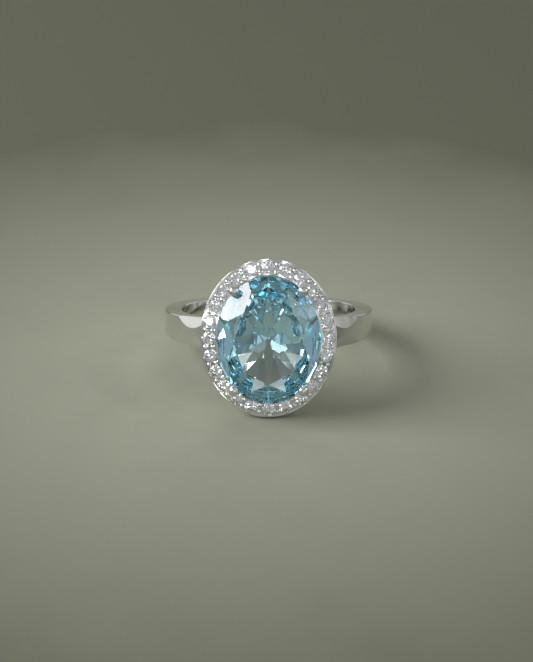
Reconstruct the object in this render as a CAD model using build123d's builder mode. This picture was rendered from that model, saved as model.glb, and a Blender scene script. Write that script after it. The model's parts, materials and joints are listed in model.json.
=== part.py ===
"""An oval halo cocktail ring, lying as it lies when it is put down.

A large oval brilliant stands in a four-claw basket. A halo of small round brilliants, each held
between small grains, surrounds it, and a tapered band with faceted shoulders carries the head.

The halo's lower edge and the back of the band rest on z = 0, so the finger axis leans by REST_TILT.
Heights in this script are measured from the finger axis towards the face of the centre stone.
"""

from build123d import *
from math import atan, atan2, cos, radians, sin, tan
import os

os.makedirs("parts", exist_ok=True)

# ---------------------------------------------------------------- driving dimensions, millimetres

# Band
BORE_D = 17.3                # inside diameter of a US size 7
BAND_THICKNESS = 1.7
BAND_WIDTH_HEAD = 3.15       # the band flares towards the head
BAND_WIDTH_SIDE = 2.4
BAND_WIDTH_BACK = 1.9
FACET_ANGLE = 46             # degrees from the head to the middle of a shoulder facet
FACET_SPAN = 12.5            # degrees from its middle to its tip
FACET_WIDTH = 1.1            # how far it reaches in from the band's edge
EDGE_R = 0.12                # the band's edges and the foot of the halo's outer wall

# Centre stone, an oval brilliant
STONE_WIDTH = 10.0
STONE_LENGTH = 12.3
STONE_CROWN = 1.35
STONE_GIRDLE = 0.3
STONE_PAVILION = 3.35
STONE_TABLE = 0.66           # share of the outline
CULET_CLEARANCE = 0.1        # from the culet to the finger

# Halo
HALO_GAP = 0.05              # from the centre stone's outline to the halo's inner wall
HALO_DROP = 0.5              # from the centre stone's girdle down to the halo's inner rim
HALO_SLOPE = 16.7            # degrees, falling away from the centre stone
HALO_WALL = 1.35             # height of its outer wall
HALO_UNDERCUT = 0.2          # how far that wall leans in towards its foot
INNER_RIM = 0.07
CHANNEL_WIDTH = 1.4
CHANNEL_DEPTH = 0.12         # the stones' channel lies below the two rims
OUTER_RIM = 0.08
RIM_EDGE_R = 0.03            # the rims' polished edges
MELEE_COUNT = 24
MELEE_D = 1.34
MELEE_CROWN = 0.22
MELEE_GIRDLE = 0.05
MELEE_PAVILION = 0.56
MELEE_TABLE = 0.56
MELEE_SINK = 0.05            # from the channel's floor down to the stones' girdles
SEAT_CLEARANCE = 0.01
LIGHT_HOLE_R = 0.34          # open hole behind each small stone
GRAIN_R = 0.3
GRAIN_SEAM = 0.003           # solder between a grain and the channel's floor
GRAIN_OFFSET = 0.36          # from the row's centre line to each grain

# Basket
CLAW_WIRE_R = 0.4
CLAW_BALL_R = 0.54
CLAW_OUTSET = 0.16           # from the girdle's outline to the claw's middle
BALL_OUTSET = 0.1            # from the girdle's outline to the ball's middle
BALL_LIFT = 0.34             # from the girdle's top edge to the ball's middle
CLAW_BEND_R = 0.5
LOWER_RAIL_A = 3.9
LOWER_RAIL_B = 4.9
LOWER_RAIL_WALL = 0.9
LOWER_RAIL_HEIGHT = 1.15     # above the finger
BEARING_WALL = 0.7
BEARING_HEIGHT = 0.9
BEARING_DROP = 0.2           # from the girdle down to the top of the bearing rail
RAIL_EDGE_R = 0.06

# ---------------------------------------------------------------- derived sizes

BORE_R = BORE_D / 2
BAND_R = BORE_R + BAND_THICKNESS
STONE_A = STONE_WIDTH / 2
STONE_B = STONE_LENGTH / 2
MELEE_R = MELEE_D / 2

GIRDLE_HEIGHT = BORE_R + CULET_CLEARANCE + STONE_PAVILION
TABLE_HEIGHT = GIRDLE_HEIGHT + STONE_GIRDLE + STONE_CROWN
BALL_HEIGHT = GIRDLE_HEIGHT + STONE_GIRDLE + BALL_LIFT
LOWER_RAIL_TOP = BORE_R + LOWER_RAIL_HEIGHT
BEARING_TOP = GIRDLE_HEIGHT - BEARING_DROP

# The halo's section, across its slope, is centred on the middle of the stones' channel.
SLOPE_SIN = sin(radians(HALO_SLOPE))
SLOPE_COS = cos(radians(HALO_SLOPE))
HALF_CHANNEL = CHANNEL_WIDTH / 2
INNER_REACH = (HALF_CHANNEL + INNER_RIM) * SLOPE_COS - CHANNEL_DEPTH * SLOPE_SIN
OUTER_REACH = (HALF_CHANNEL + OUTER_RIM) * SLOPE_COS + CHANNEL_DEPTH * SLOPE_SIN
INNER_RISE = (HALF_CHANNEL + INNER_RIM) * SLOPE_SIN + CHANNEL_DEPTH * SLOPE_COS
OUTER_FALL = (HALF_CHANNEL + OUTER_RIM) * SLOPE_SIN - CHANNEL_DEPTH * SLOPE_COS
HALO_INNER_A = STONE_A + HALO_GAP
HALO_INNER_B = STONE_B + HALO_GAP
ROW_A = HALO_INNER_A + INNER_REACH
ROW_B = HALO_INNER_B + INNER_REACH
ROW_HEIGHT = GIRDLE_HEIGHT - HALO_DROP - INNER_RISE
HALO_OUTER_B = ROW_B + OUTER_REACH
HALO_BOTTOM = ROW_HEIGHT - OUTER_FALL - HALO_WALL

# The ring leans until the foot of the halo's wall and the band's back edge are level. Both are
# rounded, and the foot's rounding starts further out, because the wall meets it at a wider angle.
HALF_BACK = BAND_WIDTH_BACK / 2
WALL_LEAN = atan(HALO_UNDERCUT / HALO_WALL)
FOOT_GAIN = EDGE_R * (1 - tan(radians(45) - WALL_LEAN / 2))
HALO_FOOT_B = HALO_OUTER_B - HALO_UNDERCUT + FOOT_GAIN
REST_TILT = atan((HALO_FOOT_B - HALF_BACK) / (BAND_R + HALO_BOTTOM))
LEAN_UP = sin(REST_TILT)
LEAN_OUT = cos(REST_TILT)
CENTRE_Z = (HALF_BACK - EDGE_R) * LEAN_OUT + (BAND_R - EDGE_R) * LEAN_UP + EDGE_R
FRONT_REACH = TABLE_HEIGHT * LEAN_OUT + STONE_TABLE * STONE_B * LEAN_UP
BACK_REACH = BAND_R * LEAN_OUT + HALF_BACK * LEAN_UP
CENTRE_Y = (FRONT_REACH - BACK_REACH) / 2

# ---------------------------------------------------------------- working planes

CENTRE = (0, CENTRE_Y, CENTRE_Z)
FACE_DIRECTION = (0, -LEAN_OUT, LEAN_UP)
FINGER_AXIS = (0, LEAN_UP, LEAN_OUT)
UNDER_SIDE = (0, -LEAN_UP, -LEAN_OUT)

# HEAD looks at the face of the ring: x across the finger, y along it, and its offsets are heights.
HEAD = Plane(origin=CENTRE, x_dir=(1, 0, 0), z_dir=FACE_DIRECTION)
# HOOP lies in the band: x across the finger, y towards the head.
HOOP = Plane(origin=CENTRE, x_dir=(1, 0, 0), z_dir=UNDER_SIDE)
# SIDE looks at the ring from its side: x along the finger, y towards the head.
SIDE = Plane(origin=CENTRE, x_dir=FINGER_AXIS, z_dir=(1, 0, 0))

# The small stones follow this line anticlockwise from the top of the halo.
ROW_FLOOR = HEAD.offset(ROW_HEIGHT)
ROW = Edge.make_ellipse(ROW_A, ROW_B, plane=ROW_FLOOR)


def row_plane(step, outset=0.0):
    """A plane on the channel's sloping floor, whose x points out of the halo and down its slope.

    Whole steps are the stones and half steps are the gaps between them.
    """
    here = ROW.position_at((step / MELEE_COUNT) % 1)
    local = ROW_FLOOR.to_local_coords(here)
    flat = Vector(local.X / ROW_A**2, local.Y / ROW_B**2).normalized()
    outward = ROW_FLOOR.from_local_coords(flat) - ROW_FLOOR.origin
    downhill = outward * SLOPE_COS - HEAD.z_dir * SLOPE_SIN
    upward = outward * SLOPE_SIN + HEAD.z_dir * SLOPE_COS
    return Plane(origin=here + downhill * outset, x_dir=downhill, z_dir=upward)


# ---------------------------------------------------------------- stones


def facet(*corners):
    """The plane through three corners of a stone, facing away from the stone's middle."""
    first, second, third = corners
    normal = (second - first).cross(third - first)
    if normal.dot(first) < 0:
        normal = normal * -1
    return Plane(origin=first, z_dir=normal)


def brilliant(half_x, half_y, crown, girdle, pavilion, table):
    """A brilliant cut about the origin, with its girdle's lower edge on XY and its table up.

    It has eight bezels, eight stars and sixteen upper halves above the girdle, and eight mains and
    sixteen lower halves below it. Radii are shares of the outline, so an oval stone has the round
    stone's facets, stretched.
    """
    half_step = 22.5
    lean = cos(radians(half_step))
    star_share = 0.6
    star_radius = table * lean + star_share * (1 - table * lean)
    star_height = girdle + crown * (1 - star_radius * lean) / (1 - table)
    lower_radius = 0.24
    lower_height = -pavilion * (1 - lower_radius * lean)

    def at(radius, angle, height):
        x = half_x * radius * cos(radians(angle))
        y = half_y * radius * sin(radians(angle))
        return Vector(x, y, height)

    facets = []
    for index in range(8):
        main = index * 2 * half_step
        rim = at(1, main, girdle)
        edge = at(1, main, 0)
        stars = [at(star_radius, main + turn * half_step, star_height) for turn in (-1, 1)]
        lowers = [at(lower_radius, main + turn * half_step, lower_height) for turn in (-1, 1)]
        table_corners = [at(table, main + turn * half_step, girdle + crown) for turn in (0, 2)]
        facets.append(facet(rim, *stars))
        facets.append(facet(edge, *lowers))
        facets.append(facet(stars[1], *table_corners))
        for turn, star, lower in zip((-1, 1), stars, lowers):
            facets.append(facet(rim, star, at(1, main + turn * half_step, girdle)))
            facets.append(facet(edge, lower, at(1, main + turn * half_step, 0)))

    with BuildPart() as gem:
        with BuildSketch(Plane.XY.offset(-pavilion)):
            Ellipse(half_x, half_y)
        extrude(amount=pavilion + girdle + crown)
        for plane in facets:
            split(bisect_by=plane, keep=Keep.BOTTOM)
    return gem.part


with BuildPart(HEAD.offset(GIRDLE_HEIGHT)) as centre_stone:
    add(brilliant(STONE_A, STONE_B, STONE_CROWN, STONE_GIRDLE, STONE_PAVILION, STONE_TABLE))

small_brilliant = brilliant(
    MELEE_R, MELEE_R, MELEE_CROWN, MELEE_GIRDLE, MELEE_PAVILION, MELEE_TABLE
)
seat_planes = [row_plane(step).offset(-MELEE_SINK) for step in range(MELEE_COUNT)]
halo_stones = []
for seat_plane in seat_planes:
    with BuildPart(seat_plane) as halo_stone:
        add(small_brilliant)
    halo_stones.append(halo_stone)

SEAT_R = MELEE_R + SEAT_CLEARANCE

# What one seat takes out of the plate: a straight wall, a cone for the pavilion and a light hole.
with BuildPart() as seat_space:
    with BuildSketch(Plane.XZ):
        Polygon(
            (0, -2 * HALO_WALL),
            (LIGHT_HOLE_R, -2 * HALO_WALL),
            (LIGHT_HOLE_R, -MELEE_PAVILION * (1 - LIGHT_HOLE_R / SEAT_R)),
            (SEAT_R, 0),
            (SEAT_R, 2 * CHANNEL_DEPTH),
            (0, 2 * CHANNEL_DEPTH),
            align=None,
        )
    revolve(axis=Axis.Z)

# What one stone takes out of the grains that lean over its girdle.
with BuildPart() as stone_space:
    with BuildSketch(Plane.XZ):
        crown_top = MELEE_GIRDLE + MELEE_CROWN + SEAT_CLEARANCE
        Polygon(
            (0, -MELEE_SINK),
            (SEAT_R, -MELEE_SINK),
            (SEAT_R, MELEE_GIRDLE),
            ((MELEE_TABLE + 0.12) * SEAT_R, crown_top),
            (0, crown_top),
            align=None,
        )
    revolve(axis=Axis.Z)

# ---------------------------------------------------------------- claws

# Each claw stands in a gap, two and a half stones from the top or the bottom of the halo.
CLAW_STEPS = {
    "claw_upper_left": 2.5,
    "claw_lower_left": MELEE_COUNT / 2 - 2.5,
    "claw_lower_right": MELEE_COUNT / 2 + 2.5,
    "claw_upper_right": MELEE_COUNT - 2.5,
}


def claw_wire(step):
    """A round wire from the lower rail up past the girdle, ending in a ball over the stone."""
    gap = ROW_FLOOR.to_local_coords(row_plane(step).origin)
    angle = atan2(gap.Y / ROW_B, gap.X / ROW_A)

    def beside(half_x, half_y, height):
        return HEAD.from_local_coords(Vector(half_x * cos(angle), half_y * sin(angle), height))

    half_wall = LOWER_RAIL_WALL / 2
    foot = beside(LOWER_RAIL_A - half_wall, LOWER_RAIL_B - half_wall, LOWER_RAIL_TOP)
    bend = beside(STONE_A + CLAW_OUTSET, STONE_B + CLAW_OUTSET, GIRDLE_HEIGHT)
    ball = beside(STONE_A + BALL_OUTSET, STONE_B + BALL_OUTSET, BALL_HEIGHT)
    below_foot = foot - (bend - foot).normalized()
    route = (below_foot, bend, ball)
    with BuildPart() as wire:
        with BuildLine() as path:
            FilletPolyline(*route, radius=CLAW_BEND_R)
        with BuildSketch(Plane(origin=path.line @ 0, z_dir=path.line % 0)):
            Circle(CLAW_WIRE_R)
        sweep(path=path.line)
        split(bisect_by=HEAD.offset(LOWER_RAIL_TOP - RAIL_EDGE_R), keep=Keep.TOP)
        with Locations(Plane(origin=ball, x_dir=ball - bend, z_dir=HEAD.z_dir)):
            Sphere(CLAW_BALL_R)
    return wire.part


claw_wires = {name: claw_wire(step) for name, step in CLAW_STEPS.items()}

# ---------------------------------------------------------------- grains between the small stones

# One grain: half a ball, which stands on the channel's floor and leans over two girdles.
with BuildPart() as grain:
    Sphere(GRAIN_R, arc_size1=0, align=(Align.CENTER, Align.CENTER, Align.MIN))

gap_steps = [step + 0.5 for step in range(MELEE_COUNT)]
grain_planes = {
    "outer": [row_plane(step, GRAIN_OFFSET) for step in gap_steps],
    "inner": [row_plane(step, -GRAIN_OFFSET) for step in gap_steps if step not in CLAW_STEPS.values()],
}

grains = {}
for side, planes in grain_planes.items():
    with BuildPart(*[plane.offset(GRAIN_SEAM) for plane in planes]) as half_balls:
        add(grain.part)
    with BuildPart() as row_of_grains:
        add(half_balls.part)
        with Locations(*seat_planes):
            add(stone_space.part, mode=Mode.SUBTRACT)
    grains[f"halo_grains_{side}"] = row_of_grains

# ---------------------------------------------------------------- halo plate and rails

halo_section_plane = Plane(origin=ROW @ 0, x_dir=ROW_FLOOR.y_dir, z_dir=(1, 0, 0))


def on_slope(across, above):
    """A point of the halo's section: across the sloping channel floor and above it."""
    return (
        across * SLOPE_COS + above * SLOPE_SIN,
        above * SLOPE_COS - across * SLOPE_SIN,
    )


with BuildPart() as halo_frame:
    with BuildSketch(halo_section_plane) as halo_section:
        with BuildLine():
            underside = -OUTER_FALL - HALO_WALL
            Polyline(
                (-INNER_REACH, underside),
                (OUTER_REACH - HALO_UNDERCUT, underside),
                on_slope(HALF_CHANNEL + OUTER_RIM, CHANNEL_DEPTH),
                on_slope(HALF_CHANNEL, CHANNEL_DEPTH),
                on_slope(HALF_CHANNEL, 0),
                on_slope(-HALF_CHANNEL, 0),
                on_slope(-HALF_CHANNEL, CHANNEL_DEPTH),
                on_slope(-HALF_CHANNEL - INNER_RIM, CHANNEL_DEPTH),
                close=True,
            )
        make_face()
        fillet(halo_section.vertices().group_by(Axis.Y)[0].sort_by(Axis.X)[-1], radius=EDGE_R)
        across = halo_section.vertices().group_by(Axis.X)
        fillet(across[-1], radius=RIM_EDGE_R)
        fillet(across[0], radius=RIM_EDGE_R)
    sweep(path=ROW)
    with Locations(*seat_planes):
        add(seat_space.part, mode=Mode.SUBTRACT)
    for wire in claw_wires.values():
        add(wire, mode=Mode.SUBTRACT)

# The centre stone's pavilion rests in this oval ring, inside the halo.
with BuildPart() as bearing_rail:
    with BuildSketch(HEAD.offset(BEARING_TOP)):
        Ellipse(HALO_INNER_A, HALO_INNER_B)
        Ellipse(HALO_INNER_A - BEARING_WALL, HALO_INNER_B - BEARING_WALL, mode=Mode.SUBTRACT)
    extrude(amount=-BEARING_HEIGHT)
    add(centre_stone.part, mode=Mode.SUBTRACT)
    add(halo_frame.part, mode=Mode.SUBTRACT)
    for wire in claw_wires.values():
        add(wire, mode=Mode.SUBTRACT)

# The basket's foot: an oval tube whose underside follows the finger.
with BuildPart() as lower_rail:
    with BuildSketch(HEAD.offset(LOWER_RAIL_TOP)):
        Ellipse(LOWER_RAIL_A, LOWER_RAIL_B)
        Ellipse(LOWER_RAIL_A - LOWER_RAIL_WALL, LOWER_RAIL_B - LOWER_RAIL_WALL, mode=Mode.SUBTRACT)
    extrude(amount=-BORE_R / 2)
    with BuildSketch(HOOP):
        Circle(BORE_R)
    extrude(amount=LOWER_RAIL_B, both=True, mode=Mode.SUBTRACT)
    fillet(lower_rail.edges().filter_by(GeomType.LINE, reverse=True), radius=RAIL_EDGE_R)

claws = {}
for name, wire in claw_wires.items():
    with BuildPart() as claw:
        add(wire)
        add(centre_stone.part, mode=Mode.SUBTRACT)
        add(lower_rail.part, mode=Mode.SUBTRACT)
    claws[name] = claw

# ---------------------------------------------------------------- band


def half_width(height):
    """Half of the band's width at a height above the finger axis."""
    if height > 0:
        end, reach = BAND_WIDTH_HEAD / 2, BORE_R
    else:
        end, reach = BAND_WIDTH_BACK / 2, BAND_R
    middle = BAND_WIDTH_SIDE / 2
    return middle + (end - middle) * (height / reach) ** 2


def shoulder_point(angle, inset, side, edge):
    """A point of the band's outside, inset from its edge, at an angle from the head."""
    height = BAND_R * cos(radians(angle))
    across = BAND_R * sin(radians(angle))
    along = half_width(height) - inset
    return HEAD.from_local_coords(Vector(side * across, edge * along, height))


def shoulder_facet(side, edge):
    """The plane that cuts the edge of one shoulder, facing away from the finger axis."""
    near = shoulder_point(FACET_ANGLE - FACET_SPAN, 0, side, edge)
    far = shoulder_point(FACET_ANGLE + FACET_SPAN, 0, side, edge)
    deep = shoulder_point(FACET_ANGLE, FACET_WIDTH, side, edge)
    normal = (far - near).cross(deep - near)
    if normal.dot(deep - HEAD.origin) < 0:
        normal = normal * -1
    return Plane(origin=deep, z_dir=normal)


with BuildPart() as shank:
    with BuildSketch(HOOP):
        Circle(BAND_R)
        Circle(BORE_R, mode=Mode.SUBTRACT)
    extrude(amount=BAND_WIDTH_HEAD, both=True)
    # The outline of the band from its side: a flare towards the head and a taper to the back.
    with BuildSketch(SIDE):
        with BuildLine():
            head_end = half_width(BAND_R)
            Bezier((BAND_WIDTH_SIDE / 2, 0), (BAND_WIDTH_SIDE / 2, BAND_R / 2), (head_end, BAND_R))
            Line((head_end, BAND_R), (0, BAND_R))
            Line((0, BAND_R), (0, -BAND_R))
            Line((0, -BAND_R), (HALF_BACK, -BAND_R))
            Bezier((HALF_BACK, -BAND_R), (BAND_WIDTH_SIDE / 2, -BAND_R / 2), (BAND_WIDTH_SIDE / 2, 0))
        make_face()
        mirror(about=Plane.YZ)
    extrude(amount=BAND_R, both=True, mode=Mode.INTERSECT)
    fillet(shank.edges(), radius=EDGE_R)
    for side in (-1, 1):
        for edge in (-1, 1):
            split(bisect_by=shoulder_facet(side, edge), keep=Keep.BOTTOM)
    with BuildSketch(HEAD):
        Ellipse(LOWER_RAIL_A, LOWER_RAIL_B)
    extrude(amount=BAND_R, mode=Mode.SUBTRACT)

# ---------------------------------------------------------------- export

nodes = {
    "shank": shank,
    "lower_rail": lower_rail,
    "bearing_rail": bearing_rail,
    "halo_frame": halo_frame,
    "centre_stone": centre_stone,
    **claws,
    **grains,
}
for number, halo_stone in enumerate(halo_stones, start=1):
    nodes[f"halo_stone_{number:02d}"] = halo_stone

for name, node in nodes.items():
    node.part.label = name
    export_step(node.part, f"parts/{name}.step")
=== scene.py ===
"""The cocktail ring's finishes, its small stones and hand-raised grains, and its stage.

Lengths in the constants below are in millimetres, angles in degrees and colours linear. The frame
itself is in metres, so lengths are multiplied by MM where they're used.
"""

import json
import random
from math import cos, pi, radians, sin, tan

import bmesh
import bpy
from mathutils import Matrix, Vector


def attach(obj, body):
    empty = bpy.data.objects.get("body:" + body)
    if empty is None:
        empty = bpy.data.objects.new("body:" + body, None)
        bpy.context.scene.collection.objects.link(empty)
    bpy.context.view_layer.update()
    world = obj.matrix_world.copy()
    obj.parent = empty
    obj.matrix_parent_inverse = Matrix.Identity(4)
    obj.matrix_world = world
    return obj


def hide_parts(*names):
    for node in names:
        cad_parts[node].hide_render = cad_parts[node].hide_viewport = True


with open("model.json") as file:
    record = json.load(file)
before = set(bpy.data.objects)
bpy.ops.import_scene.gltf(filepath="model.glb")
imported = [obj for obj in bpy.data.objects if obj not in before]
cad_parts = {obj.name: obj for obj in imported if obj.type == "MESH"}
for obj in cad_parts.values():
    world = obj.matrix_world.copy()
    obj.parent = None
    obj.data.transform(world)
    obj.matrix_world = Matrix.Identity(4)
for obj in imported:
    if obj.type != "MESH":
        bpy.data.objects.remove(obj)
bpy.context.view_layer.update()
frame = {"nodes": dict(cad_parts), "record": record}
nodes = frame["nodes"]

MM = 0.001

# The finishes
WHITE_METAL = (0.83, 0.83, 0.80, 1.0)
GRAIN_METAL = (0.88, 0.88, 0.86, 1.0)
TARNISH = (0.0, 0.0, 0.0, 1.0)  # mixed thinly into both metals
COLOURLESS = (1.0, 1.0, 1.0, 1.0)
BLUE_TINT = (0.05, 0.80, 1.0, 1.0)
BLUE_DEPTH = 64.0               # how fast the tint deepens, per metre
BLUE_IOR = 1.8
CLEAR_IOR = 2.2

# The small stones
HALO_SLOPE = 16.7               # how far the halo's floor falls away from the centre stone
STONE_TURN = 180                # each stone is turned by up to this
STONE_TILT = 1.6                # and tilted by up to this
SETTER_SEED = 12
MERGE_REACH = 0.0002            # points closer than this are one

# The grains between them
GRAIN_R = 0.29
GRAIN_ACROSS = 0.36             # from the row's middle line to a grain
GRAIN_UNEVENNESS = 0.22         # the smallest grain is this much smaller, as a share
GRAIN_SEED = 11

# The floor
FLOOR_HALF = 600
FLOOR_NEAR = (0.312, 0.320, 0.248, 1.0)
FLOOR_NEAR_PATCH = (0.362, 0.370, 0.290, 1.0)
# Painted shade: the floor's colour darkens with distance from the ring, a painted falloff of light
# round it.
FLOOR_PAINTED_FALLOFF_DARK = (0.120, 0.124, 0.084, 1.0)
FLOOR_PAINTED_FALLOFF_SPAN = (27.0, 72.0)       # distances from the ring where it begins and ends to darken
FLOOR_STRAY = 20.0              # how far the mottle moves that edge

# The air round the ring
AIR_DIM = (0.20, 0.205, 0.195, 1.0)
AIR_LOW = (0.84, 0.86, 0.84, 1.0)
AIR_HIGH = (0.42, 0.43, 0.41, 1.0)
AIR_AHEAD = (0.36, 0.38, 0.40, 1.0)
AHEAD_FADE = (0.72, 0.93)       # cosines of the angle from the view's direction

# The lights: round from the front, up from the floor, half width, half height, brightness
RIG_DISTANCE = 500
KEY_SOFTBOX = (-86, 33, 18, 16, 7.9)
RIGHT_FILL = (86, 32, 14, 12, 1.0)
SPARK_COUNT = 9                 # small lamps in each ring
SPARK_FIRST = 15                # where in its ring the first one is
SPARK_REACHES = (20, 36)
SPARK_SPREAD = (1.15, 0.75)     # each ring's half width and half height, as shares of its reach
SPARK_RISE = 30                 # of the rings' middle
SPARK_HALF = 1.3
SPARK_BRIGHTNESS = 6.5

# The camera
VIEW_RISE = 27.3
VIEW_DISTANCE = 250
VIEW_AIM = (-0.193, 0, 3.92)
LENS = 136.9
SENSOR = 36

# The direction from the ring to the camera
to_camera = Vector((0, -cos(radians(VIEW_RISE)), sin(radians(VIEW_RISE))))


# ---------------------------------------------------------------- shader writing


class Socket:
    """An output socket of a shader tree. Arithmetic on it adds Math nodes."""

    def __init__(self, shading, output):
        self.shading = shading
        self.output = output

    def math(self, operation, first, second):
        return self.shading.node("ShaderNodeMath", {"operation": operation}, {0: first, 1: second})

    def __add__(self, other):
        return self.math("ADD", self, other)

    def __radd__(self, other):
        return self.math("ADD", other, self)

    def __mul__(self, other):
        return self.math("MULTIPLY", self, other)

    def __rmul__(self, other):
        return self.math("MULTIPLY", other, self)


class Shading:
    """A shader tree, emptied to be written."""

    def __init__(self, tree):
        self.tree = tree
        self.tree.nodes.clear()

    def node(self, kind, settings=None, sockets=None, output=0):
        """Adds a node, sets its settings first, then its sockets' values or links."""
        made = self.tree.nodes.new(kind)
        for name, value in (settings or {}).items():
            setattr(made, name, value)
        for name, value in (sockets or {}).items():
            if isinstance(value, Socket):
                self.tree.links.new(value.output, made.inputs[name])
            else:
                made.inputs[name].default_value = value
        return made if output is None else Socket(self, made.outputs[output])

    def noise(self, place, scale, detail):
        """Soft noise about 0.5; scale is in features per unit of place."""
        return self.node(
            "ShaderNodeTexNoise",
            sockets={"Vector": place, "Scale": scale, "Detail": detail},
        )

    def span(self, value, low, high, new_low=0.0, new_high=1.0):
        """Value carried from one range to another, and kept inside it."""
        return self.node(
            "ShaderNodeMapRange",
            {"clamp": True},
            {
                "Value": value,
                "From Min": low,
                "From Max": high,
                "To Min": new_low,
                "To Max": new_high,
            },
        )

    def mix(self, share, first, second):
        """A mix of two colours."""
        return self.node(
            "ShaderNodeMix",
            {"data_type": "RGBA"},
            {"Factor": share, 6: first, 7: second},
            output=2,
        )


class Finish(Shading):
    """A material."""

    def __init__(self, name):
        self.material = bpy.data.materials.new(name)
        self.material.use_nodes = True
        super().__init__(self.material.node_tree)
        self.output = self.tree.nodes.new("ShaderNodeOutputMaterial")

    def place(self, scale=(1, 1, 1), turn=(0, 0, 0)):
        """Object coordinates, in millimetres, stretched and turned."""
        here = self.node("ShaderNodeTexCoord", output="Object")
        size = tuple(part / MM for part in scale)
        return self.node(
            "ShaderNodeMapping", sockets={"Vector": here, "Scale": size, "Rotation": turn}
        )

    def bump(self, height, strength, depth):
        """A normal from a height; depth is in millimetres."""
        return self.node(
            "ShaderNodeBump",
            sockets={"Height": height, "Strength": strength, "Distance": depth * MM},
        )

    def surface(self, **sockets):
        """The Principled shader on this material's surface, its sockets named with underscores."""
        named = {name.replace("_", " "): value for name, value in sockets.items()}
        shader = self.node("ShaderNodeBsdfPrincipled", sockets=named)
        self.tree.links.new(shader.output, self.output.inputs["Surface"])

    def volume(self, colour, density):
        """Colour that deepens with the length of the light's way through the piece."""
        body = self.node(
            "ShaderNodeVolumeAbsorption", sockets={"Color": colour, "Density": density}
        )
        self.tree.links.new(body.output, self.output.inputs["Volume"])


def wear(finish, piece):
    """Gives a piece this finish."""
    piece.data.materials.clear()
    piece.data.materials.append(finish.material)


def put_in_scene(name, data):
    """A new object in the scene."""
    made = bpy.data.objects.new(name, data)
    bpy.context.scene.collection.objects.link(made)
    return made


# ---------------------------------------------------------------- finishes


def polished_white_metal(name, colour, roughness, waviness):
    """Buffed white metal: faint haze, hairlines from the buff and a surface that isn't quite flat."""
    metal = Finish(name)
    place = metal.place()
    haze = metal.noise(place, scale=0.9, detail=4.0)
    brushed = metal.place(scale=(1.0, 1.0, 14.0), turn=(0.3, 0.2, 0.5))
    hairs = metal.noise(brushed, scale=2.2, detail=2.0)
    swell = metal.noise(place, scale=0.45, detail=1.0)
    tone = metal.span(haze, 0.35, 0.65, new_low=0.94)
    gloss = metal.span(haze + hairs * 0.5, 0.6, 0.9, roughness * 0.6, roughness * 1.5)
    metal.surface(
        Base_Color=metal.mix(tone, TARNISH, colour),
        Metallic=1.0,
        Roughness=gloss,
        Normal=metal.bump(swell + hairs * 0.04, strength=waviness, depth=0.05),
    )
    return metal


def cut_stone(name, ior):
    """A clear, perfectly polished stone."""
    stone = Finish(name)
    stone.surface(Base_Color=COLOURLESS, Roughness=0.0, IOR=ior, Transmission_Weight=1.0)
    return stone


white_metal = polished_white_metal("polished_white_metal", WHITE_METAL, roughness=0.09, waviness=0.25)
grain_metal = polished_white_metal("bright_cut_grains", GRAIN_METAL, roughness=0.06, waviness=0.2)
blue_stone = cut_stone("sky_blue_stone", BLUE_IOR)
blue_stone.volume(BLUE_TINT, BLUE_DEPTH)
clear_stone = cut_stone("clear_brilliants", CLEAR_IOR)

for name, node in nodes.items():
    if name == "centre_stone":
        wear(blue_stone, node)
    elif name.startswith("halo_stone"):
        wear(clear_stone, node)
    elif name.startswith("halo_grains"):
        wear(grain_metal, node)
    else:
        wear(white_metal, node)

# ---------------------------------------------------------------- the row of small stones

# The finger's direction, and from it the direction that the face of the ring looks in.
finger = Vector(frame["record"]["mounts"][0]["axis"]).normalized()
face = Vector((0, -finger.z, finger.y))


def middle(name):
    """The middle of a node's points."""
    points = [vertex.co for vertex in nodes[name].data.vertices]
    return sum(points, Vector()) / len(points)


row_names = sorted(name for name in nodes if name.startswith("halo_stone"))
row = [middle(name) for name in row_names]
heart = sum(row, Vector()) / len(row)


def axes_at(place, along):
    """The directions out of the halo and square to its sloping floor, at a place on the row."""
    outward = along.cross(face).normalized()
    if outward.dot(place - heart) < 0:
        outward = -outward
    slope = radians(HALO_SLOPE)
    downhill = outward * cos(slope) - face * sin(slope)
    upright = outward * sin(slope) + face * cos(slope)
    return downhill, upright


setter = random.Random(SETTER_SEED)

for number, name in enumerate(row_names):
    # A setter doesn't line facets up: each stone sits turned its own way, and a little off square.
    mesh = nodes[name].data.copy()
    shape = bmesh.new()
    shape.from_mesh(mesh)
    bmesh.ops.remove_doubles(shape, verts=shape.verts, dist=MERGE_REACH * MM)
    along = row[(number + 1) % len(row)] - row[number - 1]
    downhill, upright = axes_at(row[number], along)
    turn = Matrix.Rotation(radians(setter.uniform(0, STONE_TURN)), 4, upright)
    tilt = Matrix.Rotation(radians(setter.uniform(-STONE_TILT, STONE_TILT)), 4, downhill)
    there = Matrix.Translation(row[number])
    setting = there @ tilt @ turn @ there.inverted()
    bmesh.ops.transform(shape, matrix=setting, verts=shape.verts)
    for facet in shape.faces:
        facet.smooth = False
    bmesh.ops.recalc_face_normals(shape, faces=shape.faces)
    mesh.clear_geometry()
    shape.to_mesh(mesh)
    shape.free()
    stone = put_in_scene(name.replace("halo_stone", "small_brilliant"), mesh)
    wear(clear_stone, stone)
    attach(stone, "root")
    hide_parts(name)

# ---------------------------------------------------------------- the grains that hold them


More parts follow.
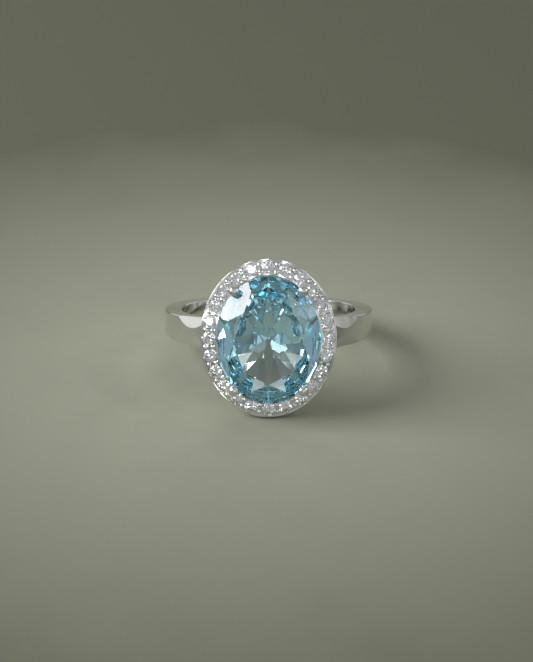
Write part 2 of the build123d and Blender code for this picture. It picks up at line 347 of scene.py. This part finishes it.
class Tree:
    """A Geometry Nodes tree with named inputs."""

    def __init__(self, name, inputs):
        self.group = bpy.data.node_groups.new(name, "GeometryNodeTree")
        sockets = self.group.interface
        shape = "NodeSocketGeometry"
        sockets.new_socket("Geometry", in_out="INPUT", socket_type=shape)
        for label, kind in inputs.items():
            sockets.new_socket(label, in_out="INPUT", socket_type=kind)
        sockets.new_socket("Geometry", in_out="OUTPUT", socket_type=shape)
        self.given = self.group.nodes.new("NodeGroupInput")
        self.result = self.group.nodes.new("NodeGroupOutput")

    def node(self, kind, settings=None, sockets=None, output=0):
        """Adds a node, sets its settings first, then its sockets' values or links."""
        made = self.group.nodes.new(kind)
        for name, value in (settings or {}).items():
            setattr(made, name, value)
        for name, value in (sockets or {}).items():
            if isinstance(value, bpy.types.NodeSocket):
                self.group.links.new(value, made.inputs[name])
            else:
                made.inputs[name].default_value = value
        return made.outputs[output]

    def grow(self, base, values):
        """Gives the base mesh this tree with these values, and returns the mesh that comes out."""
        modifier = base.modifiers.new(self.group.name, "NODES")
        modifier.node_group = self.group
        for item in self.group.interface.items_tree:
            if item.in_out == "INPUT" and item.name in values:
                modifier[item.identifier] = values[item.name]
        graph = bpy.context.evaluated_depsgraph_get()
        grown = bpy.data.meshes.new_from_object(base.evaluated_get(graph))
        base.modifiers.remove(modifier)
        return grown


def grain_tree():
    """One bead on each point, moved along the point's own across direction."""
    inputs = {
        "Radius": "NodeSocketFloat",
        "Across": "NodeSocketFloat",
        "Unevenness": "NodeSocketFloat",
        "Seed": "NodeSocketInt",
        "Finish": "NodeSocketMaterial",
    }
    tree = Tree("raised_grains", inputs)
    given = tree.given.outputs
    across = tree.node(
        "GeometryNodeInputNamedAttribute", {"data_type": "FLOAT_VECTOR"}, {"Name": "across"}
    )
    shift = tree.node(
        "ShaderNodeVectorMath", {"operation": "SCALE"}, {0: across, "Scale": given["Across"]}
    )
    moved = tree.node(
        "GeometryNodeSetPosition", None, {"Geometry": given["Geometry"], "Offset": shift}
    )
    bead = tree.node(
        "GeometryNodeMeshUVSphere", None, {"Segments": 20, "Rings": 14, "Radius": given["Radius"]}
    )
    small = tree.node(
        "ShaderNodeMath", {"operation": "SUBTRACT"}, {0: 1.0, 1: given["Unevenness"]}
    )
    size = tree.node(
        "FunctionNodeRandomValue",
        {"data_type": "FLOAT"},
        {2: small, 3: 1.0, "Seed": given["Seed"]},
        output=1,
    )
    beads = tree.node(
        "GeometryNodeInstanceOnPoints", None, {"Points": moved, "Instance": bead, "Scale": size}
    )
    real = tree.node("GeometryNodeRealizeInstances", None, {"Geometry": beads})
    smooth = tree.node("GeometryNodeSetShadeSmooth", None, {0: real})
    dressed = tree.node(
        "GeometryNodeSetMaterial", None, {"Geometry": smooth, "Material": given["Finish"]}
    )
    tree.group.links.new(dressed, tree.result.inputs[0])
    return tree


def nearest_gap(place):
    """The number of the gap between two stones that is nearest to a place."""
    return min(range(len(gaps)), key=lambda number: (gaps[number] - place).length)


gaps = [(row[number - 1] + row[number]) / 2 for number in range(len(row))]
outwards = [axes_at(gap, row[number] - row[number - 1])[0] for number, gap in enumerate(gaps)]
at_claws = {nearest_gap(middle(name)) for name in nodes if name.startswith("claw")}
tree = grain_tree()
for side, sign in (("outer", 1), ("inner", -1)):
    # No grain stands where a claw passes on the inner side.
    chosen = [number for number in range(len(gaps)) if side == "outer" or number not in at_claws]
    points = bpy.data.meshes.new(f"{side}_points")
    points.from_pydata([gaps[number] for number in chosen], [], [])
    directions = points.attributes.new("across", "FLOAT_VECTOR", "POINT")
    for direction, number in zip(directions.data, chosen):
        direction.vector = outwards[number]
    base = put_in_scene(f"{side}_points", points)
    values = {
        "Radius": GRAIN_R * MM,
        "Across": sign * GRAIN_ACROSS * MM,
        "Unevenness": GRAIN_UNEVENNESS,
        "Seed": GRAIN_SEED + sign,
        "Finish": grain_metal.material,
    }
    grown = tree.grow(base, values)
    bpy.data.objects.remove(base)
    beads = put_in_scene(f"raised_grains_{side}", grown)
    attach(beads, "root")
    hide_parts(f"halo_grains_{side}")

# ---------------------------------------------------------------- stage


def floor_finish():
    """Pale grey-green card with a faint, wide mottle, and painted shade: its colour darkens with
    distance from the ring, a painted falloff of light.
    """
    card = Finish("pale_floor")
    place = card.place()
    patch = card.noise(place, scale=0.09, detail=4.0)
    tooth = card.noise(place, scale=2.5, detail=3.0)
    away = card.node(
        "ShaderNodeVectorMath", {"operation": "LENGTH"}, {0: place}, output="Value"
    )
    near = card.mix(card.span(patch, 0.35, 0.65), FLOOR_NEAR, FLOOR_NEAR_PATCH)
    card.surface(
        # Painted shade: the colour goes from the near card to a darker one with distance from the
        # ring, a painted falloff of light.
        Base_Color=card.mix(card.span(away + patch * FLOOR_STRAY, *FLOOR_PAINTED_FALLOFF_SPAN), near, FLOOR_PAINTED_FALLOFF_DARK),
        Roughness=0.85,
        Normal=card.bump(tooth, strength=0.15, depth=0.05),
    )
    return card


half = FLOOR_HALF * MM
corners = [(-half, -half, 0), (half, -half, 0), (half, half, 0), (-half, half, 0)]
floor_mesh = bpy.data.meshes.new("pale_floor")
floor_mesh.from_pydata(corners, [], [(0, 1, 2, 3)])
floor = put_in_scene("pale_floor", floor_mesh)
wear(floor_finish(), floor)

# ---------------------------------------------------------------- light


def fill_air(world):
    """Soft, patchy light from all round, dimmer high up and straight in front of the stone."""
    world.use_nodes = True
    sky = Shading(world.node_tree)
    towards = sky.node("ShaderNodeTexCoord", output="Generated")
    rise = sky.node("ShaderNodeSeparateXYZ", sockets={"Vector": towards}, output="Z")
    ahead = sky.node(
        "ShaderNodeVectorMath",
        {"operation": "DOT_PRODUCT"},
        {0: towards, 1: to_camera},
        output="Value",
    )
    patches = sky.noise(towards, scale=2.6, detail=1.0)
    bright = sky.mix(sky.span(rise, 0.15, 0.7), AIR_LOW, AIR_HIGH)
    open_air = sky.mix(sky.span(patches + rise * 0.04, 0.47, 0.55), AIR_DIM, bright)
    colour = sky.mix(sky.span(ahead, *AHEAD_FADE), open_air, AIR_AHEAD)
    glow = sky.node("ShaderNodeBackground", sockets={"Color": colour, "Strength": 1.0})
    ground = sky.node("ShaderNodeOutputWorld", output=None)
    sky.tree.links.new(glow.output, ground.inputs["Surface"])


def softbox(name, round_angle, rise, half_width, half_height, brightness):
    """A rectangular light facing the ring. Its angles are in degrees: round from the front towards
    the right, and up from the floor."""
    distance = RIG_DISTANCE * MM
    data = bpy.data.lights.new(name, "AREA")
    data.shape = "RECTANGLE"
    data.size = 2 * distance * tan(radians(half_width))
    data.size_y = 2 * distance * tan(radians(half_height))
    data.energy = brightness * data.size * data.size_y * pi
    turn, lift = radians(round_angle), radians(rise)
    away = Vector((sin(turn) * cos(lift), -cos(turn) * cos(lift), sin(lift)))
    lamp = put_in_scene(name, data)
    lamp.location = away * distance
    lamp.rotation_euler = (-away).to_track_quat("-Z", "Y").to_euler()


bpy.context.scene.world = bpy.data.worlds.new("studio")
fill_air(bpy.context.scene.world)
softbox("key_softbox", *KEY_SOFTBOX)
softbox("right_fill", *RIGHT_FILL)
# Small lamps in two rings round the front, for the stones to break up.
wide, high = SPARK_SPREAD
for number in range(SPARK_COUNT):
    turn = radians(360 / SPARK_COUNT * number + SPARK_FIRST)
    for reach in SPARK_REACHES:
        sideways = reach * wide * cos(turn)
        upwards = SPARK_RISE + reach * sin(turn) * high
        name = f"spark_lamp_{reach}_{number}"
        softbox(name, sideways, upwards, SPARK_HALF, SPARK_HALF, SPARK_BRIGHTNESS)

# ---------------------------------------------------------------- camera

camera_data = bpy.data.cameras.new("camera")
camera_data.sensor_fit = "VERTICAL"
camera_data.sensor_height = SENSOR
camera_data.lens = LENS
camera_data.clip_start = 0.01
aim = Vector([part * MM for part in VIEW_AIM])
camera = put_in_scene("camera", camera_data)
camera.location = aim + to_camera * (VIEW_DISTANCE * MM)
camera.rotation_euler = (aim - camera.location).to_track_quat("-Z", "Y").to_euler()
bpy.context.scene.camera = camera

rays = bpy.context.scene.cycles
rays.max_bounces = 32
rays.transmission_bounces = 32
rays.glossy_bounces = 12
rays.transparent_max_bounces = 16
bpy.context.scene.view_settings.view_transform = "Standard"
